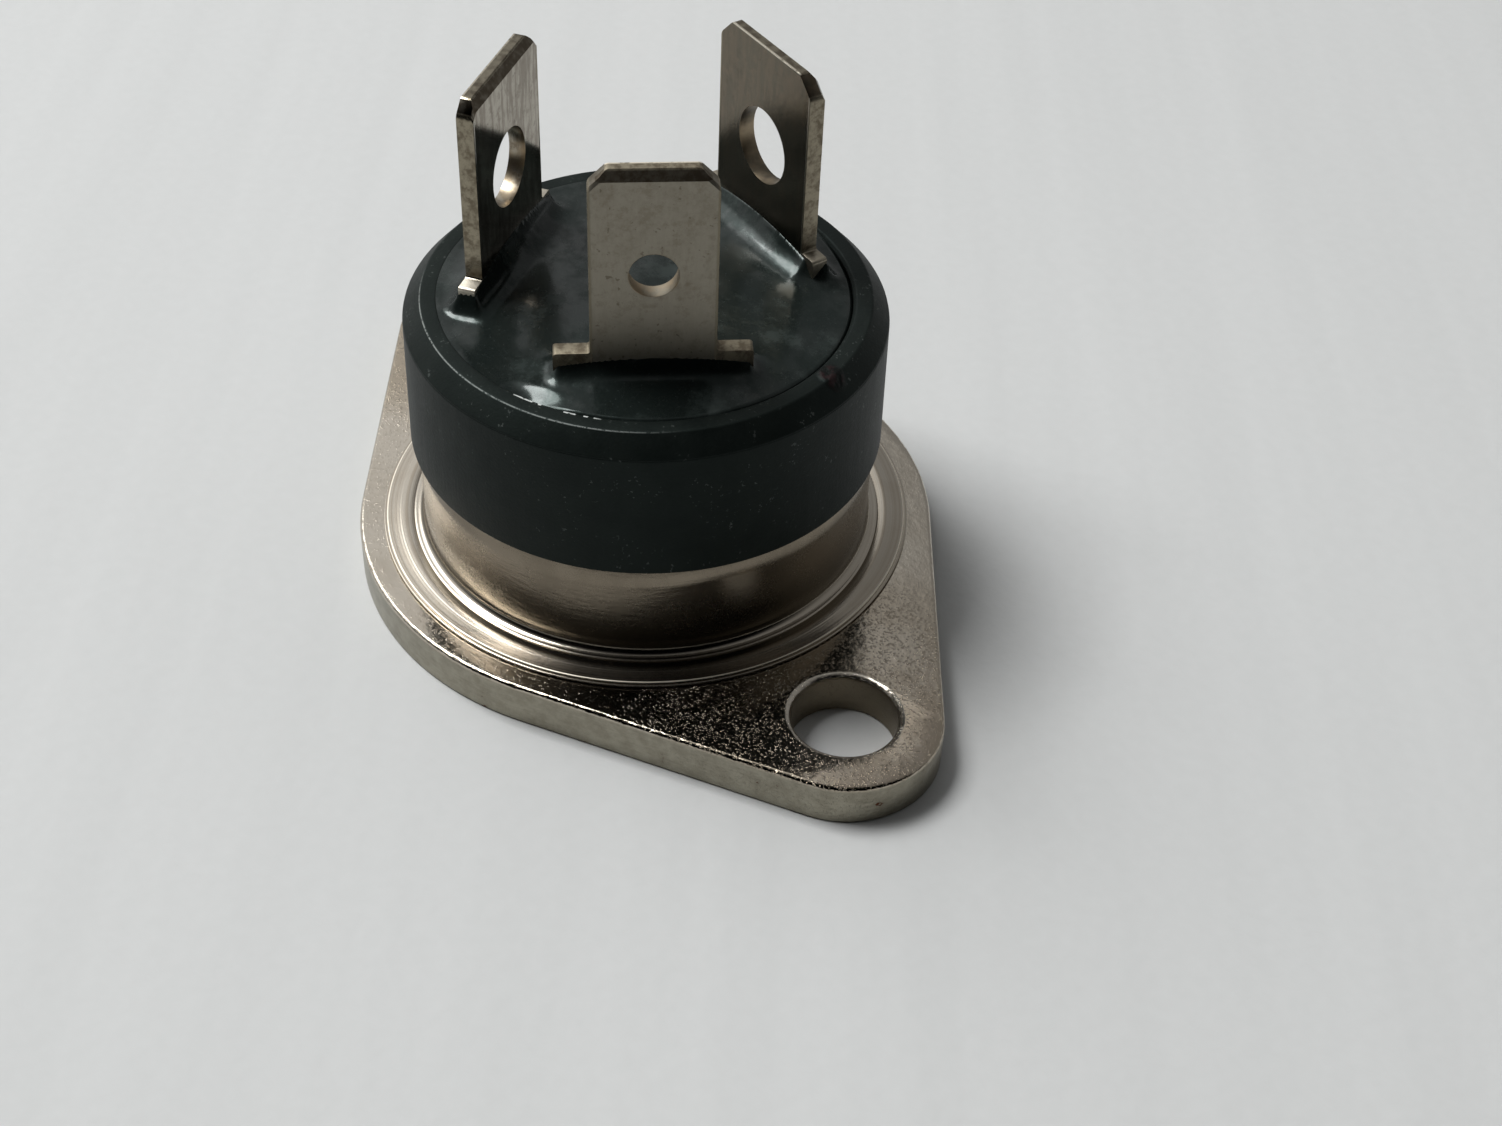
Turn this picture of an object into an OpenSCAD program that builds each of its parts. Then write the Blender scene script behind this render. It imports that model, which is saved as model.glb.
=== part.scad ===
// Power triac in an insulated, flange-mounted case with three quick-connect terminals.
// Frame: the underside of the flange is z = 0, the case's axis is the Z axis, and the two
// mounting holes lie on the X axis. All sizes are in millimetres.

/* [Flange] */
// Distance between the centres of the two mounting holes
hole_spacing = 30.1; // [29:0.1:32]
// Diameter of a mounting hole
hole_d = 4.3; // [3.5:0.1:5]
// Width of the flange across the middle
flange_w = 24.9; // [24:0.1:27]
// Radius of the flange's two ends
ear_r = 4; // [3.6:0.1:4.9]
// Thickness of the flange plate
flange_t = 1.95; // [1.5:0.05:2.5]
// Break at the rims of the mounting holes
hole_break = 0.15; // [0.05:0.05:0.3]

/* [Collar] */
// Diameter of the brim that is welded to the flange
brim_d = 22.8; // [21.5:0.1:23.4]
// Width of the thinned step at the brim's edge
brim_step = 0.12; // [0.05:0.01:0.2]
// Diameter of the collar's wall
collar_d = 19.24; // [19:0.01:19.6]
// Thickness of the drawn sheet
sheet_t = 0.25; // [0.2:0.05:0.3]
// Fillet between the brim and the wall
collar_fillet = 0.35; // [0.2:0.05:0.6]
// Height of the collar's rolled top above the base
collar_h = 6.83; // [6.2:0.01:7.5]
// Height over which the top of the wall is rolled inwards
roll_h = 1.08; // [0.8:0.01:1.2]
// Radius of the rolled top
roll_r = 2; // [1.9:0.1:3]

/* [Housing] */
// Diameter of the moulded ring at its lower edge
housing_d = 19.86; // [19.6:0.01:20.4]
// Diameter of the moulded ring under its bevel
housing_top_d = 19.74; // [19.5:0.01:20]
// Height of the ring's top above the base
housing_h = 13.3; // [12.5:0.1:13.6]
// Width of the bevel round the top
bevel_w = 0.73; // [0.4:0.01:0.9]
// Height of the bevel round the top
bevel_h = 0.8; // [0.4:0.01:1.2]
// Diameter of the opening that the resin fills
opening_d = 16.7; // [16.5:0.1:17]
// Break at the opening's rim
opening_break = 0.14; // [0.05:0.01:0.25]

/* [Resin] */
// Rise of the resin's domed top from its rim to the middle
resin_rise = 0.5; // [0.2:0.1:0.7]
// Height to which the resin wets the terminals, above the top of its dome
wet_h = 0.15; // [0.05:0.05:0.3]
// Distance that the wetted skirts reach from the terminals
wet_reach = 0.6; // [0.3:0.05:0.8]
// Height of the resin's underside above the base
resin_floor = 6; // [5.8:0.1:7]

/* [Terminals] */
// Thickness of the terminals' sheet
tab_t = 0.7; // [0.7:0.05:0.8]
// Height of the terminals' shoulders above the base
shoulder_z = 14.4; // [14:0.1:14.8]
// Height of the gate tab's tip above the base
gate_tip_z = 22.4; // [21:0.1:24]
// Width of the gate tab
gate_w = 4.85; // [4.5:0.05:5]
// Width across the gate tab's shoulders
gate_foot_w = 7.7; // [7:0.1:8]
// Diameter of the gate tab's hole
gate_hole_d = 1.9; // [1.6:0.05:2]
// Height of the gate tab's hole above the base
gate_hole_z = 17.93; // [17.5:0.01:18.5]
// Height of the main tabs' tips above the base
main_tip_z = 22.2; // [21:0.1:24]
// Width of the main tabs
main_w = 6.3; // [6:0.05:6.4]
// Width across the main tabs' shoulders
main_foot_w = 7.9; // [7.4:0.1:7.9]
// Diameter of the main tabs' holes
main_hole_d = 3.25; // [3.1:0.05:3.5]
// Height of the main tabs' holes above the base
main_hole_z = 17.78; // [17.5:0.01:18.5]
// Corner cut of the gate tab's tip
gate_corner = 0.75; // [0.4:0.05:1]
// Corner cut of the main tabs' tips
main_corner = 0.9; // [0.5:0.05:1.2]
// Depth of the coined bevel on one face of each tip
coin_depth = 0.3; // [0.1:0.05:0.4]
// Height of the coined bevel
coin_h = 0.4; // [0.2:0.05:0.6]

/* [Terminal places] */
// Direction of the gate terminal, counter-clockwise from +X
gate_dir = -29; // [-33:1:-26]
// Distance of the gate terminal from the axis
gate_reach = 5.3; // [5:0.05:5.5]
// Direction of the first main terminal
main_1_dir = 218.5; // [214:0.5:222]
// Distance of the first main terminal from the axis
main_1_reach = 6.15; // [5.8:0.05:6.3]
// Direction of the second main terminal
main_2_dir = 90; // [86:0.5:94]
// Distance of the second main terminal from the axis
main_2_reach = 6.25; // [5.8:0.05:6.3]
// Sideways shift of the second main terminal
main_2_shift = 0.8; // [0:0.05:0.8]

/* [Chip stack] */
// Thickness of the solder under the ceramic disc
base_solder_t = 0.1; // [0.05:0.01:0.15]
// Diameter of the ceramic disc
ceramic_d = 16; // [15:0.1:16.2]
// Thickness of the ceramic disc
ceramic_t = 0.64; // [0.38:0.01:1]
// Side of the copper chip pad
pad_side = 8.4; // [7.6:0.1:8.6]
// Thickness of the copper chip pad
pad_t = 0.3; // [0.2:0.05:0.4]
// Side of the silicon chip
chip_side = 7; // [6:0.1:7.2]
// Thickness of the silicon chip
chip_t = 0.3; // [0.2:0.01:0.4]
// Thickness of the solder layers above the ceramic disc
joint_t = 0.1; // [0.05:0.01:0.15]
// Diameter of the gate wire
gate_wire_d = 0.5; // [0.3:0.05:0.6]

/* [Hidden] */
$fn = 96;

eps = 0.01;
flange_r = flange_w / 2;
hole_x = hole_spacing / 2;
// Angle from the X axis to the normal of the flange's straight edges
edge_turn = acos((flange_r - ear_r) / hole_x);

collar_r = collar_d / 2;
brim_r = brim_d / 2;
brim_top = flange_t + sheet_t;
roll_z = collar_h - roll_h;
fit_gap = 0.02;

housing_r = housing_d / 2;
housing_top_r = housing_top_d / 2;
opening_r = opening_d / 2;
bevel_z = housing_h - bevel_h;
spigot_z = flange_t + 0.05;

resin_edge_z = housing_h - opening_break;
dome_r = (opening_r * opening_r + resin_rise * resin_rise) / (2 * resin_rise);
dome_z = resin_edge_z + resin_rise - dome_r;
// The dome's crown is flat over its last few hundredths
crown_z = resin_edge_z + resin_rise - 0.005;
// Depth of the skirts' roots in the resin, and width of their lips at the terminals
skirt_root = 1;
skirt_lip = 0.05;

// Sheet below the shoulders, the legs and the bends of their feet
anchor_h = 2.2;
gate_leg_w = 1.6;
main_leg_w = 4;
bend_r = 0.5;
half_t = tab_t / 2;

// Heights of the chip stack's layers, from the flange up
ceramic_z = flange_t + base_solder_t;
pad_z = ceramic_z + ceramic_t;
pad_top = pad_z + pad_t;
chip_z = pad_top + joint_t;
chip_top = chip_z + chip_t;
strap_z = chip_top + joint_t;
foot_2_z = pad_top + joint_t;
gate_foot_z = strap_z + 1;

// Places of the joints in plan, as distances from the axis along a terminal's direction
strap_past = 1.3;
strap_joint_w = main_leg_w - 0.6;
foot_2_end = chip_side / 2 + 0.35;
foot_2_joint = 1.4;
gate_foot_end = gate_reach - 1.1;
gate_spot = chip_side / 2 - 0.4;
wire_bend_r = 0.5;
gate_joint_d = 0.9;
pad_tongue_w = main_leg_w + 0.8;
pad_tongue_end = main_2_reach + half_t + 0.3;

// A tangent point of the flange's outline, in one of its four quarters
function tangent_point(sx, sy, x, r) = [sx * (x + r * cos(edge_turn)), sy * r * sin(edge_turn)];

module flange_outline() {
    circle(flange_r);
    for (s = [-1, 1]) translate([s * hole_x, 0]) circle(ear_r);
    polygon([
        tangent_point(1, 1, hole_x, ear_r), tangent_point(1, 1, 0, flange_r),
        tangent_point(-1, 1, 0, flange_r), tangent_point(-1, 1, hole_x, ear_r),
        tangent_point(-1, -1, hole_x, ear_r), tangent_point(-1, -1, 0, flange_r),
        tangent_point(1, -1, 0, flange_r), tangent_point(1, -1, hole_x, ear_r)
    ]);
}

// Bore of a mounting hole, with its two broken rims
module mounting_hole() {
    r = hole_d / 2;
    b = hole_break + eps;
    translate([0, 0, -1]) cylinder(r = r, h = flange_t + 2);
    translate([0, 0, -eps]) cylinder(r1 = r + b, r2 = r, h = b);
    translate([0, 0, flange_t - hole_break]) cylinder(r1 = r, r2 = r + b, h = b);
}

module base_flange() {
    color("silver") difference() {
        linear_extrude(flange_t) flange_outline();
        for (s = [-1, 1]) translate([s * hole_x, 0, 0]) mounting_hole();
    }
}

// Ring sector from angle 0 to 90 degrees between two radii, in 2D
module quarter_ring(outer, inner) {
    difference() {
        intersection() {
            circle(outer);
            square(outer);
        }
        circle(inner);
    }
}

// Drawn collar: welded brim, fillet, wall, and a top rolled in over the housing's spigot
module collar() {
    wall_in = collar_r - sheet_t;
    fillet_x = collar_r + collar_fillet;
    fillet_z = brim_top + collar_fillet;
    color("silver") rotate_extrude() {
        translate([fillet_x, flange_t]) square([brim_r - brim_step - fillet_x, sheet_t]);
        translate([fillet_x, flange_t + sheet_t / 4]) square([brim_r - fillet_x, sheet_t / 2]);
        translate([fillet_x, fillet_z]) rotate(180)
            quarter_ring(collar_fillet + sheet_t, collar_fillet);
        translate([wall_in, fillet_z]) square([sheet_t, roll_z - fillet_z]);
        intersection() {
            translate([collar_r - roll_r, roll_z]) quarter_ring(roll_r, roll_r - sheet_t);
            translate([0, roll_z]) square([collar_r, roll_h]);
        }
    }
}

// Moulded ring: spigot inside the collar, shoulder on its rolled top, tapered wall and bevel
module housing() {
    spigot_r = collar_r - sheet_t - fit_gap;
    throat_r = roll_r - sheet_t - fit_gap;
    color([0.13, 0.15, 0.15]) rotate_extrude() difference() {
        union() {
            translate([0, spigot_z]) square([spigot_r, roll_z - spigot_z]);
            intersection() {
                translate([spigot_r - throat_r, roll_z]) circle(throat_r);
                translate([0, roll_z - 1]) square([spigot_r, roll_h + 2]);
            }
            polygon([[0, collar_h], [housing_r, collar_h], [housing_top_r, bevel_z],
                     [housing_top_r - bevel_w, housing_h], [0, housing_h]]);
        }
        square([opening_r, housing_h + 1]);
        translate([opening_r, housing_h])
            polygon([[-eps, -opening_break - eps], [-eps, eps], [opening_break + eps, eps]]);
    }
}

// Outline of a tab, its shoulders and the sheet under them, drawn in the XY plane
module tab_outline(w, foot_w, corner, tip) {
    polygon([[-w / 2, 0], [-w / 2, tip - corner], [-w / 2 + corner, tip],
             [w / 2 - corner, tip], [w / 2, tip - corner], [w / 2, 0],
             [foot_w / 2, 0], [foot_w / 2, -anchor_h], [-foot_w / 2, -anchor_h],
             [-foot_w / 2, 0]]);
}

// Wedge that coins one edge of a tip: the edge lies along X at y = 0 and z = 0
module coin_wedge(run) {
    rotate([90, 0, 90]) translate([0, 0, -run / 2]) linear_extrude(run)
        polygon([[half_t + eps, -coin_h - eps], [half_t + eps, eps], [half_t - coin_depth, eps]]);
}

// Terminal in one piece of sheet, in its own frame: the sheet's middle is x = 0, its outer face
// is towards +X, its width lies along Y, and z = 0 is the height of the shoulders
module terminal(w, foot_w, corner, tip, hole_d, hole_z, leg_w, foot_z, foot_run, coin_inside) {
    leg_bottom = foot_z + tab_t + bend_r;
    difference() {
        rotate([90, 0, 90]) translate([0, 0, -half_t]) linear_extrude(tab_t)
            tab_outline(w, foot_w, corner, tip);
        translate([-tab_t, 0, hole_z]) rotate([0, 90, 0]) cylinder(d = hole_d, h = 2 * tab_t);
        mirror([coin_inside ? 1 : 0, 0, 0]) rotate(-90) {
            translate([0, 0, tip]) coin_wedge(w);
            for (s = [-1, 1]) translate([s * (w - corner) / 2, 0, tip - corner / 2])
                rotate([0, s * 45, 0]) coin_wedge(2 * corner);
        }
    }
    translate([-half_t, -leg_w / 2, leg_bottom]) cube([tab_t, leg_w, -anchor_h - leg_bottom + eps]);
    translate([-half_t - bend_r, leg_w / 2, leg_bottom]) rotate([90, 0, 0])
        linear_extrude(leg_w) mirror([0, 1]) quarter_ring(bend_r + tab_t, bend_r);
    translate([-half_t - foot_run, -leg_w / 2, foot_z])
        cube([foot_run - bend_r + eps, leg_w, tab_t]);
}

module gate_terminal() {
    color([0.66, 0.63, 0.58]) rotate(gate_dir) translate([gate_reach, 0, shoulder_z])
        terminal(gate_w, gate_foot_w, gate_corner, gate_tip_z - shoulder_z, gate_hole_d,
                 gate_hole_z - shoulder_z, gate_leg_w, gate_foot_z - shoulder_z,
                 gate_reach - half_t - gate_foot_end, false);
}

// The first main terminal's foot is the strap that reaches over the chip
module main_terminal_1() {
    color([0.66, 0.63, 0.58]) rotate(main_1_dir) translate([main_1_reach, 0, shoulder_z])
        terminal(main_w, main_foot_w, main_corner, main_tip_z - shoulder_z, main_hole_d,
                 main_hole_z - shoulder_z, main_leg_w, strap_z - shoulder_z,
                 main_1_reach - half_t + strap_past, true);
}

module main_terminal_2() {
    color([0.66, 0.63, 0.58]) rotate(main_2_dir)
        translate([main_2_reach, main_2_shift, shoulder_z])
            terminal(main_w, main_foot_w, main_corner, main_tip_z - shoulder_z, main_hole_d,
                     main_hole_z - shoulder_z, main_leg_w, foot_2_z - shoulder_z,
                     main_2_reach - half_t - foot_2_end, false);
}

module ceramic_insulator() {
    color("white") translate([0, 0, ceramic_z]) cylinder(d = ceramic_d, h = ceramic_t);
}

module base_solder() {
    color("gray") translate([0, 0, flange_t])
        cylinder(d = ceramic_d - 0.6, h = base_solder_t);
}

// Copper pad under the chip, with a tongue that carries the second main terminal's foot
module chip_pad() {
    color([0.72, 0.45, 0.2]) translate([0, 0, pad_z]) linear_extrude(pad_t) {
        square(pad_side, center = true);
        rotate(main_2_dir) translate([0, main_2_shift - pad_tongue_w / 2])
            square([pad_tongue_end, pad_tongue_w]);
    }
}

module chip_solder() {
    color("gray") translate([0, 0, pad_top + joint_t / 2])
        cube([chip_side, chip_side, joint_t], center = true);
}

module triac_chip() {
    color([0.25, 0.27, 0.32]) translate([0, 0, chip_z + chip_t / 2])
        cube([chip_side, chip_side, chip_t], center = true);
}

module top_solder() {
    color("gray") rotate(main_1_dir) translate([0, 0, chip_top + joint_t / 2])
        cube([2 * strap_past - 0.2, strap_joint_w, joint_t], center = true);
}

module pad_solder() {
    color("gray") rotate(main_2_dir)
        translate([foot_2_end, main_2_shift - main_leg_w / 2, pad_top])
            cube([foot_2_joint, main_leg_w, joint_t]);
}

module gate_solder() {
    color("gray") rotate(gate_dir) translate([gate_spot, 0, chip_top])
        cylinder(d = gate_joint_d, h = joint_t);
}

// Wire from the gate terminal's foot, over and down to the chip's gate spot
module gate_wire() {
    r = gate_wire_d / 2;
    top = gate_foot_z + tab_t / 2;
    color([0.72, 0.45, 0.2]) rotate(gate_dir) {
        translate([gate_spot + wire_bend_r, 0, top]) rotate([0, 90, 0])
            cylinder(r = r, h = gate_foot_end - gate_spot - wire_bend_r);
        translate([gate_spot + wire_bend_r, 0, top - wire_bend_r]) rotate([90, 0, 180])
            rotate_extrude(angle = 90) translate([wire_bend_r, 0]) circle(r);
        translate([gate_spot, 0, strap_z]) cylinder(r = r, h = top - wire_bend_r - strap_z);
    }
}

// Everything that the two fillings flow round
module buried() {
    gate_terminal();
    main_terminal_1();
    main_terminal_2();
}

module silicone_gel() {
    color([0.85, 0.87, 0.9]) difference() {
        translate([0, 0, flange_t]) cylinder(r = opening_r, h = resin_floor - flange_t);
        base_solder();
        ceramic_insulator();
        chip_pad();
        chip_solder();
        triac_chip();
        top_solder();
        pad_solder();
        gate_solder();
        gate_wire();
        buried();
    }
}

// One way of a skirt's slope: a block of the given half width whose sides lean in to the top
module skirt_slope(half, run) {
    z = resin_edge_z - skirt_root;
    top_z = resin_edge_z + resin_rise + wet_h;
    foot = half + wet_reach;
    lip = half + skirt_lip;
    rotate([90, 0, 0]) translate([0, 0, -run / 2]) linear_extrude(run)
        polygon([[-foot, z], [foot, z], [foot, resin_edge_z], [lip, top_z],
                 [-lip, top_z], [-foot, resin_edge_z]]);
}

// Skirt of resin that wets a terminal: it slopes away from both faces and both edges
module skirt(dir, reach, shift, foot_w) {
    side = foot_w + 2 * wet_reach + 1;
    rotate(dir) translate([reach, shift, 0]) intersection() {
        skirt_slope(half_t, side);
        rotate(90) skirt_slope(foot_w / 2, side);
    }
}

module potting_resin() {
    color([0.08, 0.09, 0.09]) difference() {
        union() {
            rotate_extrude() intersection() {
                translate([0, resin_floor]) square([opening_r, crown_z - resin_floor]);
                translate([0, dome_z]) circle(dome_r, $fn = 720);
            }
            intersection() {
                cylinder(r = opening_r, h = shoulder_z);
                union() {
                    skirt(gate_dir, gate_reach, 0, gate_foot_w);
                    skirt(main_1_dir, main_1_reach, 0, main_foot_w);
                    skirt(main_2_dir, main_2_reach, main_2_shift, main_foot_w);
                }
            }
        }
        buried();
    }
}

base_flange();
collar();
housing();
potting_resin();
silicone_gel();
gate_terminal();
main_terminal_1();
main_terminal_2();
ceramic_insulator();
base_solder();
chip_pad();
chip_solder();
triac_chip();
top_solder();
pad_solder();
gate_solder();
gate_wire();
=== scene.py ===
"""Power triac in a flange-mounted case with three push-on tabs, in the order it is put together."""
import math

import bmesh
import bpy
from mathutils import Matrix, Vector


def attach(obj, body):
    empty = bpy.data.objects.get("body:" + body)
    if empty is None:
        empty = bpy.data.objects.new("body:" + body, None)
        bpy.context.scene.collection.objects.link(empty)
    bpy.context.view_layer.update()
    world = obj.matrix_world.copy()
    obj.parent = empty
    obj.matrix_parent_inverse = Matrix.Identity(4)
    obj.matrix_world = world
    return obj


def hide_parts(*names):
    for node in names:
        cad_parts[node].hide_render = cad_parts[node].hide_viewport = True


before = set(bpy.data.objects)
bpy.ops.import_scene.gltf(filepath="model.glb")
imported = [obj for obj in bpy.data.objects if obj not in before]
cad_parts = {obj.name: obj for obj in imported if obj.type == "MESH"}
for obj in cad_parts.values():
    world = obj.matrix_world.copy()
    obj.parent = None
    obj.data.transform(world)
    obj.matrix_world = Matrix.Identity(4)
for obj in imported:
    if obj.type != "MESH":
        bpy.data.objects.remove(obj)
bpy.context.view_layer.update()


# ---- Base plate ----
# The mounting flange is a lozenge blanked from 2 mm copper strip with two screw holes,
# then nickel plated. The die rounds its upper edge and leaves the plating slightly grained.
MM = 0.001
PLATE_R = 12.45
EAR_R = 4.0
HOLE_X = 15.05
HOLE_R = 2.15
PLATE_T = 1.95
PLATE_ROUND = 0.18
BURR_BREAK = 0.08
HOLE_ROUND = 0.26
WIDE_STEPS, EAR_STEPS, HOLE_STEPS = 40, 28, 72
ROUND_STEPS, HOLE_ROUND_STEPS = 5, 4
WELD_GAP = 1e-4
SHARP_FROM = math.radians(40)
EDGE_TURN = math.acos((PLATE_R - EAR_R) / HOLE_X)
NICKEL = (0.60, 0.55, 0.47)
# Dull nickel; on the flange it also serves as painted shade towards the front-right ear.
NICKEL_DULL_AND_SHADE = (0.44, 0.38, 0.30)
PLATE_SIDE = (0.34, 0.318, 0.255)
PLATE_SIDE_WORN = (0.25, 0.23, 0.18)
RUST = (0.09, 0.035, 0.02)
# Stain tone for the pits on the top; it is also painted shade on the walls of the screw holes.
PLATE_STAIN_AND_BORE_SHADE = (0.24, 0.205, 0.15)


class Value:
    """A number or colour that changes over a surface. It wraps a socket; sums add Math nodes."""

    def __init__(self, nodes, socket):
        self.nodes = nodes
        self.socket = socket

    def math(self, operation, *terms):
        return self.nodes.node("ShaderNodeMath", {"operation": operation}, dict(enumerate(terms)))

    def __add__(self, other):
        return self.math("ADD", self, other)

    def __sub__(self, other):
        return self.math("SUBTRACT", self, other)

    def __rsub__(self, other):
        return self.math("SUBTRACT", other, self)

    def __mul__(self, other):
        return self.math("MULTIPLY", self, other)

    def __pow__(self, other):
        return self.math("POWER", self, other)

    __radd__ = __add__
    __rmul__ = __mul__


class Nodes:
    """A node tree, filled in one node at a time."""

    def __init__(self, tree):
        self.tree = tree

    def node(self, kind, settings, inputs, output=0):
        """Adds one node: its settings first, then the numbers or links of its sockets."""
        made = self.tree.nodes.new(kind)
        for name, setting in settings.items():
            setattr(made, name, setting)
        for name, value in inputs.items():
            if isinstance(value, Value):
                self.tree.links.new(value.socket, made.inputs[name])
            else:
                made.inputs[name].default_value = value
        return Value(self, made.outputs[output])


class Finish(Nodes):
    """The procedural material of one finish. Lengths in its patterns are millimetres."""

    def __init__(self, name, constants):
        self.material = bpy.data.materials.new(name)
        self.material.use_nodes = True
        super().__init__(self.material.node_tree)
        self.shader = self.tree.nodes["Principled BSDF"]
        self.normal = None
        for socket, number in constants.items():
            self.shader.inputs[socket].default_value = number

    def place(self, centre=(0, 0, 0), turn=0.0, stretch=(1, 1, 1)):
        """Object coordinates in millimetres, centred, turned about the axis and stretched."""
        here = self.node("ShaderNodeTexCoord", {}, {}, "Object")
        middle = Matrix.Rotation(-turn, 3, "Z") @ Vector(centre)
        turned = self.node("ShaderNodeMapping", {},
                           {"Vector": here, "Scale": (1 / MM,) * 3, "Rotation": (0, 0, -turn),
                            "Location": -middle})
        if stretch == (1, 1, 1):
            return turned
        return self.node("ShaderNodeMapping", {}, {"Vector": turned, "Scale": stretch})

    def apart(self, vector):
        """The three coordinates of a vector, each as a number."""
        return [self.node("ShaderNodeSeparateXYZ", {}, {0: vector}, axis) for axis in range(3)]

    def noise(self, where, scale, detail=2.0, rough=0.5):
        return self.node("ShaderNodeTexNoise", {},
                         {"Vector": where, "Scale": scale, "Detail": detail, "Roughness": rough})

    def ease(self, value, low, high):
        """0 below the low end, 1 above the high end, and a smooth step between."""
        return self.node("ShaderNodeMapRange", {"interpolation_type": "SMOOTHSTEP"},
                         {"Value": value, "From Min": low, "From Max": high})

    def tint(self, share, tone, other):
        """A colour between two others."""
        whole = [(*c, 1.0) if isinstance(c, tuple) else c for c in (tone, other)]
        return self.node("ShaderNodeMix", {"data_type": "RGBA"},
                         {0: share, 6: whole[0], 7: whole[1]}, 2)

    def relief(self, height, depth):
        """Raises the surface by the height pattern, times a depth in millimetres."""
        inputs = {"Height": height, "Distance": depth * MM}
        if self.normal:
            inputs["Normal"] = self.normal
        self.normal = self.node("ShaderNodeBump", {}, inputs)
        self.feed("Normal", self.normal)

    def feed(self, socket, value):
        self.tree.links.new(value.socket, self.shader.inputs[socket])


def swing(bm, start, centre, axis, turn, steps):
    """Swings a vertex round a centre, which leaves an arc of edges, and gives the arc's end."""
    arc = bmesh.ops.spin(bm, geom=[start], cent=centre, axis=axis, angle=turn, steps=steps)
    return next(part for part in arc["geom_last"] if isinstance(part, bmesh.types.BMVert))


def plate_loop(bm, inset, height):
    """A closed loop round the lozenge, drawn in by the inset: two wide arcs and two ears."""
    before = set(bm.edges)
    wide = math.pi - 2 * EDGE_TURN
    stations = ((0, PLATE_R, EDGE_TURN, wide, WIDE_STEPS),
                (-HOLE_X, EAR_R, math.pi - EDGE_TURN, 2 * EDGE_TURN, EAR_STEPS),
                (0, PLATE_R, math.pi + EDGE_TURN, wide, WIDE_STEPS),
                (HOLE_X, EAR_R, -EDGE_TURN, 2 * EDGE_TURN, EAR_STEPS))
    first = last = None
    for centre_x, radius, start, sweep, steps in stations:
        reach = radius - inset
        vert = bm.verts.new((centre_x + reach * math.cos(start), reach * math.sin(start), height))
        if last:
            bm.edges.new((last, vert))
        first = first or vert
        last = swing(bm, vert, (centre_x, 0, height), (0, 0, 1), sweep, steps)
    bm.edges.new((last, first))
    return [edge for edge in bm.edges if edge not in before]


def hole_loop(bm, centre_x, radius, height):
    """A closed loop round a screw hole."""
    before = set(bm.edges)
    bmesh.ops.create_circle(bm, segments=HOLE_STEPS, radius=radius,
                            matrix=Matrix.Translation((centre_x, 0, height)))
    return [edge for edge in bm.edges if edge not in before]


def rounded_rise(radius, top, steps):
    """(inset, height) pairs over a rounded upper edge, from the wall to the flat."""
    for step in range(steps + 1):
        turn = math.pi / 2 * step / steps
        yield radius * (1 - math.cos(turn)), top - radius * (1 - math.sin(turn))


def make_piece(name, bm, finish, node):
    """Turns a finished shape, drawn in millimetres, into a piece that stands for its solid."""
    bmesh.ops.remove_doubles(bm, verts=bm.verts[:], dist=WELD_GAP)
    bmesh.ops.recalc_face_normals(bm, faces=bm.faces[:])
    bmesh.ops.scale(bm, vec=(MM, MM, MM), verts=bm.verts[:])
    for face in bm.faces:
        face.smooth = True
    mesh = bpy.data.meshes.new(name)
    bm.to_mesh(mesh)
    bm.free()
    mesh.set_sharp_from_angle(angle=SHARP_FROM)
    mesh.materials.append(finish.material)
    piece = bpy.data.objects.new(name, mesh)
    bpy.context.scene.collection.objects.link(piece)
    shading = piece.modifiers.new("Even shading", "WEIGHTED_NORMAL")
    shading.keep_sharp = True
    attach(piece, "root")
    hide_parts(node)


def plate_shape():
    bm = bmesh.new()
    levels = [(BURR_BREAK, 0), (0, BURR_BREAK), *rounded_rise(PLATE_ROUND, PLATE_T, ROUND_STEPS)]
    rims = [plate_loop(bm, inset, height) for inset, height in levels]
    bottoms, tops = [rims[0]], [rims[-1]]
    for lower, upper in zip(rims, rims[1:]):
        bmesh.ops.bridge_loops(bm, edges=lower + upper)
    for side in (-1, 1):
        levels = [(BURR_BREAK, 0), (0, BURR_BREAK),
                  *rounded_rise(HOLE_ROUND, PLATE_T, HOLE_ROUND_STEPS)]
        loops = [hole_loop(bm, side * HOLE_X, HOLE_R + inset, height) for inset, height in levels]
        bottoms.append(loops[0])
        tops.append(loops[-1])
        for lower, upper in zip(loops, loops[1:]):
            bmesh.ops.bridge_loops(bm, edges=lower + upper)
    for rings in (bottoms, tops):
        bmesh.ops.triangle_fill(bm, edges=[edge for ring in rings for edge in ring],
                                use_beauty=True)
    return bm


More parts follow.
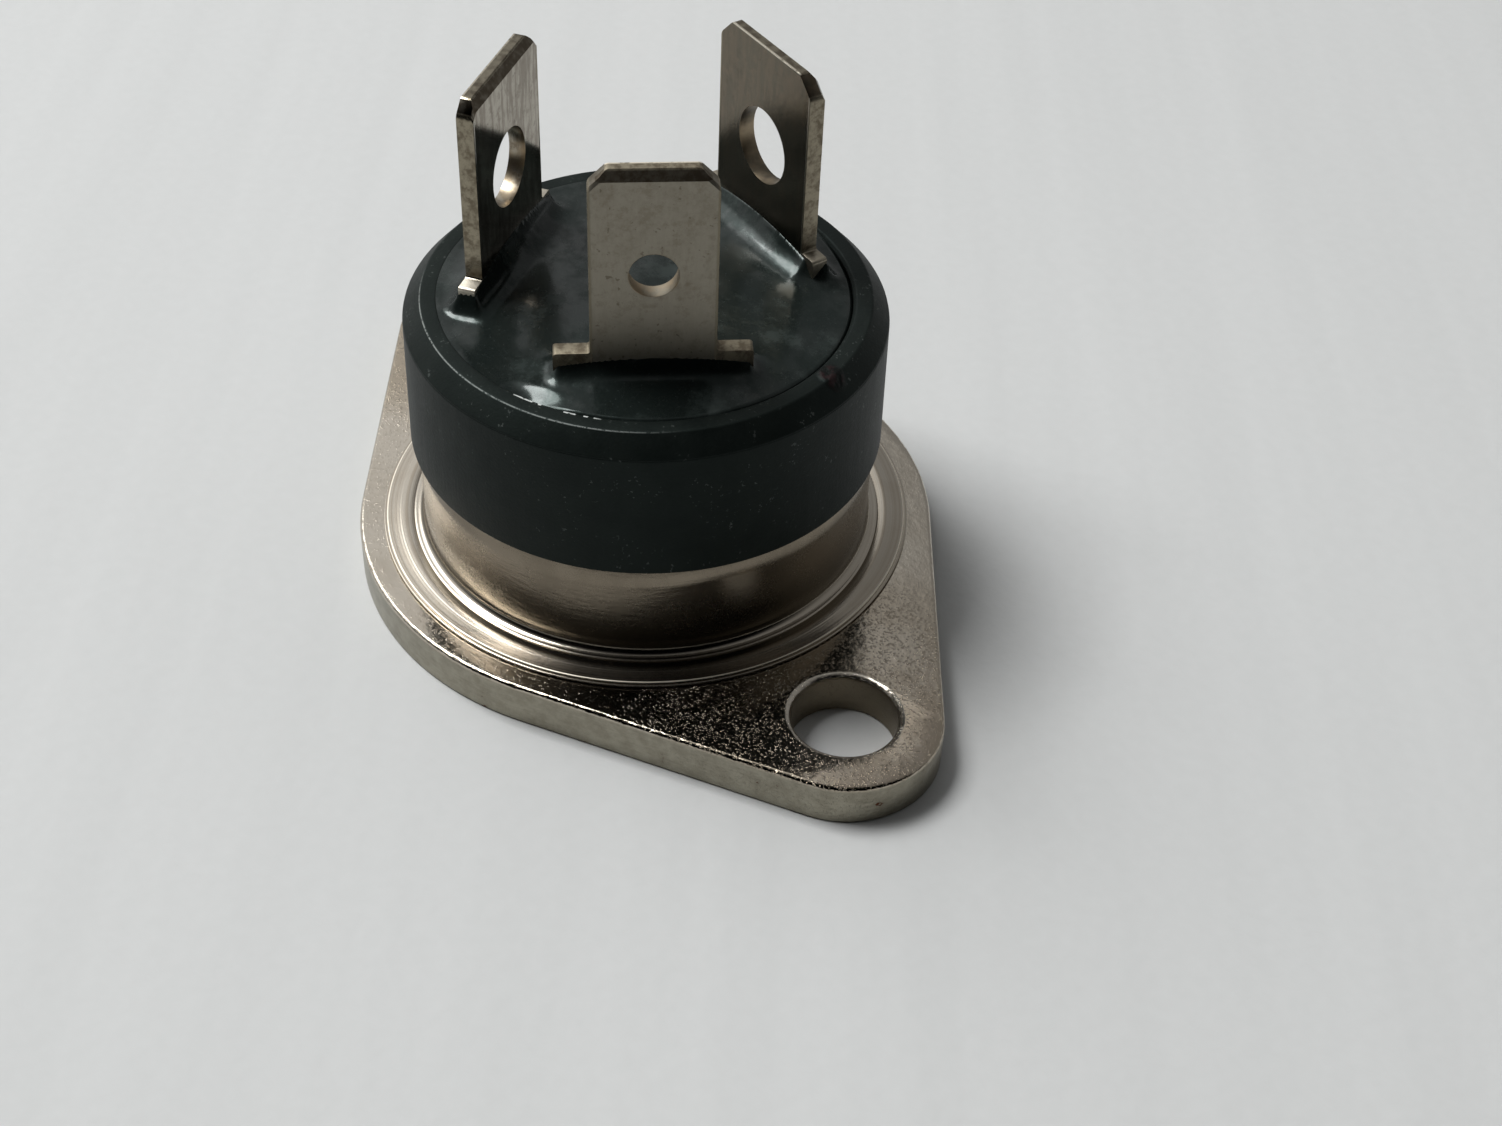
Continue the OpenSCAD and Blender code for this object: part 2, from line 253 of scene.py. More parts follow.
def plated_copper():
    """Nickel on the strip: dulled and pitted round the holes, blotched on the sheared side, with
    painted shade in the bores and towards the front-right ear.
    """
    plate = Finish("Nickel-plated flange", {"Metallic": 1.0})
    here = plate.place()
    x, y, z = plate.apart(here)
    grain = plate.noise(here, 5.0, 3.0, 0.6)
    clouds = plate.noise(here, 0.35, 3.0)
    pits = plate.noise(here, 10.0, 2.0, 0.6)
    drag = plate.noise(plate.place(stretch=(0.6, 0.6, 6)), 1.6, 3.0, 0.6)
    blotch = plate.noise(here, 1.3, 5.0, 0.7)

    hole_square = ((x * x) ** 0.5 - HOLE_X) ** 2 + y * y
    near_hole = 1 - plate.ease(hole_square, 12, 90)
    from_hole = hole_square ** 0.5
    # bore: the wall of each screw hole, painted dark as painted shade.
    bore = 1 - plate.ease(from_hole, HOLE_R, HOLE_R + 0.05)
    rim = 1 - plate.ease(from_hole, HOLE_R + HOLE_ROUND - 0.06, HOLE_R + HOLE_ROUND + 0.03)
    on_side = 1 - plate.ease(z, PLATE_T - 0.25, PLATE_T - 0.08)

    # Painted shade: the nickel turns duller and browner towards the front-right ear.
    wear_and_shade = plate.ease(x - y * 0.5, 2.0, 13.0) * 0.35
    dull_and_shade = plate.ease(clouds + grain * 0.3 + near_hole * 0.15, 0.5, 0.85)
    dull_and_shade = dull_and_shade * (0.3 + near_hole * 0.7) * (1 - wear_and_shade) + wear_and_shade
    stain = plate.ease(pits, 0.5, 0.62) * (0.05 + near_hole * 0.3)
    top = plate.tint(stain, plate.tint(dull_and_shade, NICKEL, NICKEL_DULL_AND_SHADE), PLATE_STAIN_AND_BORE_SHADE)
    sheared = plate.ease(blotch * 0.8 + drag * 0.2, 0.35, 0.65)
    side = plate.tint(sheared, PLATE_SIDE, PLATE_SIDE_WORN)
    side = plate.tint(plate.ease(blotch - z * 0.03, 0.62, 0.66), side, RUST)
    shell = plate.tint(rim, plate.tint(on_side, top, side), NICKEL)
    plate.feed("Base Color", plate.tint(bore, shell, PLATE_STAIN_AND_BORE_SHADE))
    plate.feed("Roughness", 0.06 + grain * 0.06 + clouds * 0.04 + on_side * 0.22 + rim * 0.12)

    plate.relief(grain, 0.005)
    plate.relief(drag * on_side, 0.012)
    # The edge that the die rounds is left a little wavy.
    flat = plate.ease(z, PLATE_T - 0.03, PLATE_T - 0.005)
    wavy = plate.ease(z, PLATE_T - 0.3, PLATE_T - 0.1) * (1 - flat * 0.8)
    plate.relief((plate.noise(here, 2.0, 3.0) - 0.5) * wavy, 0.06)
    plate.relief(plate.ease(pits, 0.56, 0.66) * (0.25 + near_hole * 0.75), 0.009)
    return plate


make_piece("Base_plate", plate_shape(), plated_copper(), "base_flange")


# ---- Collar ----
# A ring drawn from thin steel sheet and nickel plated. Its brim is projection-welded to the
# plate, and the electrode presses a step and a groove into it. A small fillet turns the sheet
# upright, and its top is rolled in to lock the moulding.
SHEET_T = 0.25
BRIM_TOP = PLATE_T + SHEET_T
BRIM_R = 11.4
BRIM_STEP = 0.12
BRIM_FALL = 0.03
BRIM_MARKS = ((10.7, 0.02, 0), (10.66, 0.005, 0),
              (10.14, 0, 0), (10.08, 0.026, 0), (10.0, 0, 0.02))
STEP_DROP = 0.11
WALL_R = 9.62
FILLET_R = 0.35
ROLL_Z = 5.75
ROLL_TANGENT = 0.586
COLLAR_TOP = 6.83
COLLAR_TOP_R = 9.303
LIP_W = 0.305
INNER_ROLL_R = 0.5
INNER_FOOT_R = 0.55
TURN_STEPS = 240
CORNER_STEPS = 6
# The wall's own brown; on the brim's right side it is painted shade.
WALL_BROWN_AND_BRIM_SHADE = (0.23, 0.195, 0.15)
# Painted shade for the crease and the wall's left side; it also tints random stains on the wall.
CREASE_SHADE_AND_STAIN = (0.10, 0.085, 0.06)
# Painted highlight tone for the brim's outer edge.
BRIM_HIGHLIGHT = (0.8, 0.74, 0.62)


def profile(bm, corners):
    """A closed section of (radius, height, rounding) corners; a rounding of 0 stays sharp."""
    verts = [bm.verts.new((radius, 0, height)) for radius, height, _ in corners]
    for vert, follower in zip(verts, verts[1:] + verts[:1]):
        bm.edges.new((vert, follower))
    for vert, (_, _, rounding) in zip(verts, corners):
        if rounding:
            bmesh.ops.bevel(bm, geom=[vert], offset=rounding, segments=CORNER_STEPS, profile=0.5,
                            affect="VERTICES", material=-1)


def turn_full(bm, steps):
    """Turns what is drawn so far once round the case's axis."""
    bmesh.ops.spin(bm, geom=bm.edges[:], cent=(0, 0, 0), axis=(0, 0, 1), angle=math.tau,
                   steps=steps, use_merge=True)


def collar_shape():
    bm = bmesh.new()
    inner_r = WALL_R - SHEET_T
    roll_z = ROLL_Z + ROLL_TANGENT
    quarter = SHEET_T / 4
    profile(bm, (
        (BRIM_R - BRIM_STEP, BRIM_TOP - BRIM_FALL, 0.05),
        *((radius, BRIM_TOP - depth, rounding) for radius, depth, rounding in BRIM_MARKS),
        (WALL_R, BRIM_TOP, FILLET_R), (WALL_R, roll_z, ROLL_TANGENT),
        (COLLAR_TOP_R, COLLAR_TOP, 0.03), (COLLAR_TOP_R - LIP_W, COLLAR_TOP, 0),
        (inner_r, roll_z, INNER_ROLL_R), (inner_r, PLATE_T, INNER_FOOT_R),
        (BRIM_R - BRIM_STEP, PLATE_T, 0), (BRIM_R - BRIM_STEP, PLATE_T + quarter, 0),
        (BRIM_R, PLATE_T + quarter, 0.02), (BRIM_R, BRIM_TOP - STEP_DROP, 0.04),
        (BRIM_R - BRIM_STEP, BRIM_TOP - STEP_DROP, 0)))
    turn_full(bm, TURN_STEPS)
    return bm


def drawn_steel():
    """Bright on the turned brim, browned on the drawn wall, with painted shade in the crease."""
    steel = Finish("Nickel-plated collar", {"Metallic": 1.0})
    here = steel.place()
    x, y, z = steel.apart(here)
    radius = (x * x + y * y) ** 0.5
    section = steel.node("ShaderNodeCombineXYZ", {}, {0: radius, 1: z})
    turning = steel.noise(section, 7.0, 3.0, 0.6)
    crinkle = steel.noise(steel.place(stretch=(1, 1, 5)), 1.1, 3.0, 0.6)
    clouds = steel.noise(here, 0.5, 3.0)
    grain = steel.noise(here, 9.0, 2.0)

    on_wall = steel.ease(z, BRIM_TOP + 0.4, BRIM_TOP + 1.0)
    # Painted shade: the wall and the crease are painted darker on the left side.
    left_shade = 1 - steel.ease(x, -4.0, 1.5)
    # Painted shade in the crease where the brim turns up into the wall.
    crease_shade = 1 - steel.ease(z, BRIM_TOP + 0.6, BRIM_TOP + 2.8)
    crease_shade = crease_shade * steel.ease(z, BRIM_TOP + 0.01, BRIM_TOP + 0.3 - left_shade * 0.22)
    # Painted highlight: a light line round the brim's outer edge.
    edge_highlight = steel.ease(radius, BRIM_R - 0.2, BRIM_R - 0.17)
    edge_highlight = edge_highlight * steel.ease(z, BRIM_TOP - 0.07, BRIM_TOP - 0.05)

    lines = steel.ease(turning, 0.42, 0.6) * 0.6 + steel.ease(clouds, 0.45, 0.75) * 0.3
    bright = steel.tint(lines, NICKEL, NICKEL_DULL_AND_SHADE)
    # Painted shade: the brim is browned towards its right side.
    bright = steel.tint(steel.ease(x, 4.0, 10.0) * 0.4, bright, WALL_BROWN_AND_BRIM_SHADE)
    bright = steel.tint(edge_highlight, bright, BRIM_HIGHLIGHT)
    # Random stains on the wall, plus the painted shade on its left side.
    browned = steel.ease(clouds, 0.35, 0.7) * 0.3 + left_shade * 0.62
    wall = steel.tint(browned, WALL_BROWN_AND_BRIM_SHADE, CREASE_SHADE_AND_STAIN)
    shell = steel.tint(crease_shade * 0.8, steel.tint(on_wall, bright, wall), CREASE_SHADE_AND_STAIN)
    steel.feed("Base Color", shell)
    steel.feed("Roughness", 0.1 + clouds * 0.1 + grain * 0.06 + on_wall * 0.09 + edge_highlight * 0.25)

    steel.relief(turning * (1 - on_wall), 0.010)
    steel.relief(crinkle * on_wall * steel.ease(x * 0.5 - y, 5.0, 9.5), 0.012)
    steel.relief(grain, 0.002)
    return steel


make_piece("Collar", collar_shape(), drawn_steel(), "collar")


# ---- Moulded ring ----
# The case wall, moulded in black glass-filled epoxy. Its spigot sits in the collar, and the
# tool leaves a fine parting line under the bevel. A painted highlight runs along one side of
# the bevel's upper edge, and one small scab of reddish varnish sits on it.
RING_LOW_R = 9.93
RING_TOP_R = 9.87
BEVEL_Z = 12.5
RING_TOP = 13.3
BEVEL_TOP_R = 9.14
OPENING_R = 8.35
OPENING_BREAK = 0.14
SPIGOT_R = 9.35
SPIGOT_Z = 2.0
NECK_R = 8.98
PARTING_H = 0.04
PARTING_DEPTH = 0.02
PARTING_SWELL = 0.004
RING_SHEEN = {"Specular IOR Level": 0.155, "Specular Tint": (0.75, 1.0, 0.93, 1.0)}
RING_BLACK = (0.0037, 0.005, 0.0045)
RING_CLOUD = (0.007, 0.009, 0.008)
# Side on which the bevel's painted highlight lies.
HIGHLIGHT_SIDE = Vector((0.2, -0.98))
# Painted highlight tone for the bevel's upper edge.
BEVEL_HIGHLIGHT = (0.22, 0.235, 0.225)
DUST_GREY = (0.10, 0.11, 0.105)
# Side and tone of the painted glints at the lip.
GLINT_SIDE = Vector((0.56, -0.83))
GLINT_GREY = (0.6, 0.63, 0.61)
BLOT_X, BLOT_Y = 8.46, 3.25
BLOT_RED = (0.015, 0.005, 0.006)
BLOT_DARK = (0.002, 0.001, 0.001)


def ring_shape():
    bm = bmesh.new()
    profile(bm, (
        (OPENING_R, SPIGOT_Z, 0), (SPIGOT_R, SPIGOT_Z, 0.1), (SPIGOT_R, ROLL_Z + 0.5, 0.45),
        (NECK_R, COLLAR_TOP, 0), (RING_LOW_R, COLLAR_TOP, 0.05),
        (RING_TOP_R + PARTING_SWELL, BEVEL_Z - 2 * PARTING_H, 0),
        (RING_TOP_R - PARTING_DEPTH, BEVEL_Z - PARTING_H, 0),
        (RING_TOP_R, BEVEL_Z, 0.05), (BEVEL_TOP_R, RING_TOP, 0.07),
        (OPENING_R + OPENING_BREAK, RING_TOP, 0.05), (OPENING_R, RING_TOP - OPENING_BREAK, 0.03)))
    turn_full(bm, TURN_STEPS)
    return bm


def black_moulding():
    """Matt epoxy: painted highlight on the bevel, dust, a scab, and painted glints where resin
    meets the lip.
    """
    epoxy = Finish("Black moulded epoxy", RING_SHEEN)
    here = epoxy.place()
    x, y, z = epoxy.apart(here)
    radius = (x * x + y * y) ** 0.5
    grain = epoxy.noise(here, 8.0, 4.0, 0.6)
    clouds = epoxy.noise(here, 0.6, 3.0)
    drag = epoxy.noise(epoxy.place(stretch=(1, 1, 0.12)), 3.0, 3.0)

    # Painted highlight: a light line along the bevel's upper edge, on one side only.
    bevel_highlight = 1 - epoxy.ease(((radius - BEVEL_TOP_R) ** 2) ** 0.5, 0.008, 0.036)
    bevel_highlight = bevel_highlight * epoxy.ease(z, BEVEL_Z + 0.5, BEVEL_Z + 0.7) * epoxy.ease(grain, 0.36, 0.5)
    bevel_highlight = bevel_highlight * epoxy.ease(x * HIGHLIGHT_SIDE.x + y * HIGHLIGHT_SIDE.y, 5.0, 8.2)
    dust = epoxy.ease(epoxy.noise(here, 5.0, 2.0, 0.7), 0.64, 0.68) * 0.5
    dust = dust * epoxy.ease(clouds, 0.45, 0.65)
    from_blot = ((x - BLOT_X) ** 2 + (y - BLOT_Y) ** 2) ** 0.5 + clouds * 0.5
    blot = 1 - epoxy.ease(from_blot, 0.6, 0.9)
    lumps = epoxy.noise(here, 2.2, 3.0)
    # Painted glints: light grey flecks on the flat just outside the opening, on one side.
    glint = epoxy.ease(radius, OPENING_R + 0.1, OPENING_R + 0.12)
    glint = glint * (1 - epoxy.ease(radius, OPENING_R + 0.2, OPENING_R + 0.23))
    glint = glint * epoxy.ease(x * GLINT_SIDE.x + y * GLINT_SIDE.y, 8.3, 8.42)
    glint = glint * epoxy.ease(epoxy.noise(here, 3.0, 1.0), 0.5, 0.56)

    skin = epoxy.tint(epoxy.ease(clouds + grain * 0.3, 0.45, 0.85), RING_BLACK, RING_CLOUD)
    skin = epoxy.tint(dust, skin, DUST_GREY)
    scab = epoxy.tint(epoxy.ease(lumps, 0.45, 0.55), BLOT_DARK, BLOT_RED)
    skin = epoxy.tint(glint, epoxy.tint(blot, skin, scab), GLINT_GREY)
    epoxy.feed("Base Color", epoxy.tint(bevel_highlight, skin, BEVEL_HIGHLIGHT))
    epoxy.feed("Roughness", 0.42 + grain * 0.14 + drag * 0.06)

    epoxy.relief(blot * lumps, 0.12)
    epoxy.relief(grain, 0.010)
    epoxy.relief(drag, 0.006)
    return epoxy


make_piece("Moulded_ring", ring_shape(), black_moulding(), "housing")


# ---- Terminals ----
# Three push-on tabs blanked from 0.7 mm brass strip and tinned. Each has shoulders, a latching
# hole and a tip coined on one side; below the resin a narrower leg bends in to a soldered foot.
# The plating has browned by a different amount on each, and the two wide ones are brushed.
TAB_T = 0.7
HALF_T = TAB_T / 2
SHOULDER_Z = 14.4
ANCHOR_Z = 12.2
BEND_R = 0.5
BEND_STEPS = 6
BLANK_STEPS = 4
TAB_HOLE_STEPS = 64
EDGE_BREAK = 0.055
BREAK_FROM = math.radians(32)
FLAT_WITHIN = math.radians(1)
COIN_DEPTH = 0.3
COIN_H = 0.4
CORNER_COIN = 0.12
TAB_AGED = (0.77, 0.74, 0.71)
TAB_CUT = (0.265, 0.235, 0.175)
# Painted highlight tone for the tip's top edge and the shoulders.
TAB_HIGHLIGHT = (0.8, 0.74, 0.62)
TAB_SPECK = (0.10, 0.08, 0.055)
TAB_MOTTLE = (0.15, 0.12, 0.085)
TAB_BRASS = (0.34, 0.275, 0.19)


def level_cut(bm, point, normal):
    """Cuts the sheet away beyond a plane and closes the cut."""
    cut = bmesh.ops.bisect_plane(bm, geom=bm.verts[:] + bm.edges[:] + bm.faces[:],
                                 plane_co=point, plane_no=normal, clear_outer=True)
    rim = [part for part in cut["geom_cut"] if isinstance(part, bmesh.types.BMEdge)]
    bmesh.ops.holes_fill(bm, edges=rim)


def terminal_shape(width, shoulder_w, corner, tip_z, hole_r, hole_z, leg_w, foot_z, foot_run,
                   coin_side):
    """A terminal in its own frame: the sheet's middle at x = 0, its outer face towards +X."""
    bm = bmesh.new()
    half, wide, leg = width / 2, shoulder_w / 2, leg_w / 2
    leg_z = foot_z + TAB_T + BEND_R
    # Down one side of the blank: (distance from the middle, height, rounding of the corner).
    outline = ((half - corner, tip_z, 0.12), (half, tip_z - corner, 0.15),
               (half, SHOULDER_Z, 0.12), (wide, SHOULDER_Z, 0.14),
               (wide, ANCHOR_Z, 0.1), (leg, ANCHOR_Z, 0.2), (leg, leg_z, 0))
    right = [(-HALF_T, side, height) for side, height, _ in outline]
    left = [(-HALF_T, -side, height) for side, height, _ in reversed(outline)]
    rounds = [rounding for _, _, rounding in outline]
    verts = [bm.verts.new(place) for place in right + left]
    for vert, follower in zip(verts, verts[1:] + verts[:1]):
        bm.edges.new((vert, follower))
    for vert, rounding in zip(verts, rounds + rounds[::-1]):
        if rounding:
            bmesh.ops.bevel(bm, geom=[vert], offset=rounding, segments=BLANK_STEPS, profile=0.5,
                            affect="VERTICES", material=-1)
    bmesh.ops.create_circle(bm, segments=TAB_HOLE_STEPS, radius=hole_r,
                            matrix=Matrix.Translation((-HALF_T, 0, hole_z))
                            @ Matrix.Rotation(math.pi / 2, 4, "Y"))
    bmesh.ops.triangle_fill(bm, edges=bm.edges[:], use_beauty=True)
    outer = bmesh.ops.extrude_face_region(bm, geom=bm.faces[:])["geom"]
    bmesh.ops.translate(bm, vec=(TAB_T, 0, 0),
                        verts=[part for part in outer if isinstance(part, bmesh.types.BMVert)])
    bmesh.ops.recalc_face_normals(bm, faces=bm.faces[:])

    lean = Vector((coin_side * COIN_H, 0, COIN_DEPTH))
    level_cut(bm, (coin_side * HALF_T, 0, tip_z - COIN_H), lean)
    for side in (-1, 1):
        middle = Vector((coin_side * HALF_T, side * (half - corner / 2), tip_z - corner / 2))
        out = Vector((0, side, 1)).normalized()
        level_cut(bm, middle - out * CORNER_COIN, Vector((coin_side, 0, 0)) + out)
    # The flats are cleared of their inner edges in a fixed order, so each run gives the same blank.
    flat = [edge for edge in bm.edges if edge.calc_face_angle() < FLAT_WITHIN]
    flat.sort(key=lambda edge: [round(part, 3) for part in edge.verts[0].co + edge.verts[1].co])
    bmesh.ops.dissolve_edges(bm, edges=flat, use_verts=True)

    soles = [face for face in bm.faces if face.calc_center_median().z < leg_z + 0.001]
    rim = [edge for face in soles for edge in face.edges]
    bmesh.ops.delete(bm, geom=soles, context="FACES_ONLY")
    bend = bmesh.ops.spin(bm, geom=rim, cent=(-HALF_T - BEND_R, 0, leg_z), axis=(0, 1, 0),
                          angle=math.pi / 2, steps=BEND_STEPS)
    rim = [part for part in bend["geom_last"] if isinstance(part, bmesh.types.BMEdge)]
    foot = bmesh.ops.extrude_edge_only(bm, edges=rim)["geom"]
    bmesh.ops.translate(bm, vec=(BEND_R - foot_run, 0, 0),
                        verts=[part for part in foot if isinstance(part, bmesh.types.BMVert)])
    bmesh.ops.holes_fill(bm, edges=[part for part in foot if isinstance(part, bmesh.types.BMEdge)])
    bmesh.ops.remove_doubles(bm, verts=bm.verts[:], dist=WELD_GAP)
    bmesh.ops.recalc_face_normals(bm, faces=bm.faces[:])
    sharp = [edge for edge in bm.edges
             if len(edge.link_faces) == 2 and edge.calc_face_angle() > BREAK_FROM]
    bmesh.ops.bevel(bm, geom=sharp, offset=EDGE_BREAK, segments=3, profile=0.5,
                    affect="EDGES", material=-1, clamp_overlap=True)
    return bm


def tab_plating(name, stand, blank, plated, shine, brushed, wear_and_shade, painted_shoulder_highlight):
    """The plating of one terminal: its face tones, and the brass that shows at its cut edges.

    The shares say how far it is brushed, how far its wear shows the mottle, and how strongly its
    shoulders take a painted highlight.
    """
    metal = Finish(name, {"Metallic": 1.0})
    centre = Matrix.Rotation(stand["turn"], 3, "Z") @ Vector((stand["reach"], stand["shift"], 0))
    half, tip_z = blank["width"] / 2, blank["tip_z"]
    here = metal.place(centre, stand["turn"])
    out, across, z = metal.apart(here)
    off_middle, off_side = (out * out) ** 0.5, (across * across) ** 0.5
    speck = metal.noise(here, 4.5, 5.0, 0.75)
    streak = metal.noise(metal.place(centre, stand["turn"], (1, 1, 0.15)), 3.0, 4.0, 0.7)
    clouds = metal.noise(here, 0.9, 3.0)
    spots = metal.noise(here, 2.2, 4.0, 0.7)
    freckles = metal.noise(here, 4.0, 2.0)

    side_cut = metal.ease(off_side, half - 0.12, half - 0.06)
    top_cut = metal.ease(z, tip_z - 0.09, tip_z - 0.04)
    edge = side_cut + top_cut * (1 - side_cut)
    # Painted highlight: a strip along each side edge is kept clear of specks, so it reads as a
    # light line.
    side_highlight = metal.ease(off_side, half - 0.13, half - 0.07)
    side_highlight = side_highlight * (1 - metal.ease(off_side, half - 0.03, half))
    # Painted highlight along the top edge of the tip.
    top_highlight = metal.ease(z, tip_z - 0.065, tip_z - 0.035)
    top_highlight = top_highlight * metal.ease(off_middle, HALF_T - 0.09, HALF_T - 0.05)
    coin = metal.ease(z, tip_z - COIN_H - 0.02, tip_z - COIN_H + 0.02) * (1 - top_cut)
    coin = coin * metal.ease(out * blank["coin_side"], -0.1, 0.0)
    bore = (across * across + (z - blank["hole_z"]) ** 2) ** 0.5
    bore = 1 - metal.ease(bore, blank["hole_r"], blank["hole_r"] + 0.05)
    # Painted highlight on the tops of the shoulders, as strong as the look's last share.
    shoulder_highlight = (1 - metal.ease(z, SHOULDER_Z, SHOULDER_Z + 0.04)) * painted_shoulder_highlight
    foot = 1 - metal.ease(z, SHOULDER_Z + 0.5, SHOULDER_Z + 5)

    brown = tuple(part * share for part, share in zip(plated, TAB_AGED))
    aged = metal.ease(clouds * 0.7 + speck * 0.8 - foot * 0.15, 0.65, 0.98)
    tone = metal.tint(aged * 0.65, plated, brown)
    tone = metal.tint(metal.ease(streak, 0.43, 0.58) * 0.8 * brushed, tone, TAB_MOTTLE)
    tone = metal.tint(metal.ease(spots, 0.5, 0.66) * wear_and_shade, tone, TAB_MOTTLE)
    tone = metal.tint(metal.ease(freckles, 0.66, 0.73) * 0.6, tone, TAB_SPECK)
    tone = metal.tint(coin * (0.5 + metal.ease(spots, 0.35, 0.6) * 0.45), tone, TAB_SPECK)
    cut = metal.tint(metal.ease(spots, 0.4, 0.64) * 0.8 * (1 - side_highlight), TAB_CUT, TAB_SPECK)
    cut = metal.tint(top_highlight * metal.ease(spots, 0.35, 0.5) * 0.8, cut, TAB_HIGHLIGHT)
    tone = metal.tint(shoulder_highlight, metal.tint(edge, tone, cut), TAB_HIGHLIGHT)
    tone = metal.tint(bore * metal.ease(clouds, 0.35, 0.65), tone, TAB_BRASS)
    metal.feed("Base Color", tone)
    dulled = edge * 0.15 + bore * 0.2 + shoulder_highlight * 0.2
    metal.feed("Roughness", shine + dulled + speck * (0.3 * shine) + streak * (0.05 * brushed))

    metal.relief(speck, 0.02 * shine)
    metal.relief(streak, 0.02 * shine * brushed)
    metal.relief(spots * edge, 0.015)
    return metal


# The last share of each look paints a highlight on the shoulders.
TERMINALS = {
    "Gate_tab": (
        "gate_terminal", dict(turn=math.radians(-29.0), reach=5.3, shift=0.0),
        dict(width=4.85, shoulder_w=7.7, corner=0.7, tip_z=22.4, hole_r=0.95, hole_z=17.93,
             leg_w=1.6, foot_z=4.49, foot_run=0.75, coin_side=1),
        dict(plated=(0.26, 0.24, 0.195), shine=0.38, brushed=0.1, wear_and_shade=0.35, painted_shoulder_highlight=0.0)),
    "Main_tab_one": (
        "main_terminal_1", dict(turn=math.radians(218.5), reach=6.15, shift=0.0),
        dict(width=6.3, shoulder_w=7.9, corner=0.55, tip_z=22.2, hole_r=1.625, hole_z=17.78,
             leg_w=4.0, foot_z=3.49, foot_run=7.1, coin_side=-1),
        dict(plated=(0.345, 0.317, 0.26), shine=0.06, brushed=1.0, wear_and_shade=0.8, painted_shoulder_highlight=0.9)),
    "Main_tab_two": (
        "main_terminal_2", dict(turn=math.radians(90.0), reach=6.25, shift=0.8),
        dict(width=6.3, shoulder_w=7.9, corner=0.8, tip_z=22.2, hole_r=1.625, hole_z=17.78,
             leg_w=4.0, foot_z=3.09, foot_run=2.05, coin_side=1),
        dict(plated=(0.12, 0.105, 0.077), shine=0.15, brushed=0.8, wear_and_shade=1.0, painted_shoulder_highlight=0.25)),
}
for name, (node, stand, blank, look) in TERMINALS.items():
    tab = terminal_shape(**blank)
    bmesh.ops.transform(tab, verts=tab.verts[:], matrix=Matrix.Rotation(stand["turn"], 4, "Z")
                        @ Matrix.Translation((stand["reach"], stand["shift"], 0)))
    plating = tab_plating(name + "_plating", stand, blank, **look)
    make_piece(name, tab, plating, node)


# ---- Resin ----
# Black potting resin poured over the gel and cured. It sets with a slight dome and creeps up
# every terminal and the rim of the opening, so its gloss breaks into streaks at the tabs.
RESIN_FLOOR = 6.0
RESIN_EDGE_Z = 13.16
RESIN_RISE = 0.5
DOME_R = (OPENING_R ** 2 + RESIN_RISE ** 2) / (2 * RESIN_RISE)
RESIN_RINGS = 110
RESIN_STEPS = 420
GAP_MIDDLE = math.radians(12)
GAP_FROM, GAP_OVER = 0.1, 0.4
GAP_DEPTH = 0.2
RIM_W = 0.16
RIM_RISE = 0.13
RIM_REACH = 0.45
BEAD_MIDDLE = math.radians(-63)
BEAD_R = 7.5
BEAD_SPREAD = 0.12
BEAD_DIP = 0.29
ARCH_DROP = 0.3
END_PULL = 1.3
RESIN_SHEEN = {"Specular IOR Level": 0.17, "Coat Roughness": 0.13,
               "Specular Tint": (0.75, 1.0, 0.93, 1.0)}
RESIN_BLACK = (0.0092, 0.0126, 0.0116)
RESIN_DUSTY = (0.0155, 0.02, 0.0185)
RESIN_HAZE = (0.034, 0.043, 0.04)
CREEP = {"Gate_tab": ((0.7, 0.32, 0.15), (0.5, 0.4, 0.1)),
         "Main_tab_one": ((1.3, 0.32, 0.0), (1.3, 0.32, 0.0)),
         "Main_tab_two": ((1.3, 0.32, 0.0), (1.12, 0.68, 0.55))}


def smooth_step(value):
    """0 up to 0, 1 from 1 on, and a smooth step between."""
    held = min(max(value, 0.0), 1.0)
    return held ** 2 * (3 - 2 * held)


def dome(radius):
    """Height of the resin's plain dome, a cap of a sphere."""
    return RESIN_EDGE_Z + RESIN_RISE - DOME_R + math.sqrt(DOME_R ** 2 - radius ** 2)


def creep(x, y):
    """Height that the resin climbs above its dome at a point, drawn up by the terminals.

    The outer and inner side of each terminal have a (rise, reach, shortening); the last draws
    the creep in from the ends of the shoulders.
    """
    climb = 0.0
    for name, (outer, inner) in CREEP.items():
        _, stand, blank, _ = TERMINALS[name]
        local = Matrix.Rotation(-stand["turn"], 2) @ Vector((x, y))
        out, across = local.x - stand["reach"], local.y - stand["shift"]
        wide = blank["shoulder_w"] / 2
        arch = 1 - ARCH_DROP * min(abs(across) / wide, 1.0) ** 2
        outer_share = smooth_step(out / TAB_T + 0.5)
        for share, (rise, reach, short) in ((outer_share, outer), (1 - outer_share, inner)):
            past = max(abs(across) - wide + short, 0.0)
            away = math.hypot(max(abs(out) - HALF_T, 0.0), END_PULL * past)
            climb = climb + share * rise * arch * math.exp(-away / reach)
    return climb


